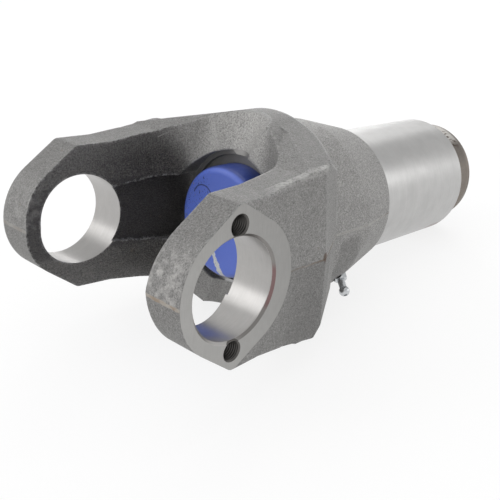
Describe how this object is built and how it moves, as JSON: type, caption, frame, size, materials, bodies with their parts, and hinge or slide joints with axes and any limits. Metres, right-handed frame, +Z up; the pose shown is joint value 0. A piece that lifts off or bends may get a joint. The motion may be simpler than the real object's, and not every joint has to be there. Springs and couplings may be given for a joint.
{
  "type": "slip yoke",
  "caption": "Forged steel fork with a cross bore through both ears, a throat plug and a turned barrel with an internal sliding spline.",
  "frame": {"origin": "centre of the cross bores, where the barrel axis crosses their axis", "axes": "+X along the barrel towards its splined end, +Y along the cross bores, +Z up, square to the parting plane of the forging dies"},
  "size_m": [0.3006, 0.1396, 0.1186],
  "materials": {
    "forging": "shot-blasted forged steel with milled and turned faces",
    "plug": "semi-gloss blue",
    "fitting": "bright zinc plate"
  },
  "bodies": {
    "root": {"forged_yoke": "forging", "throat_plug": "plug", "grease_fitting": "fitting"}
  },
  "joints": []
}
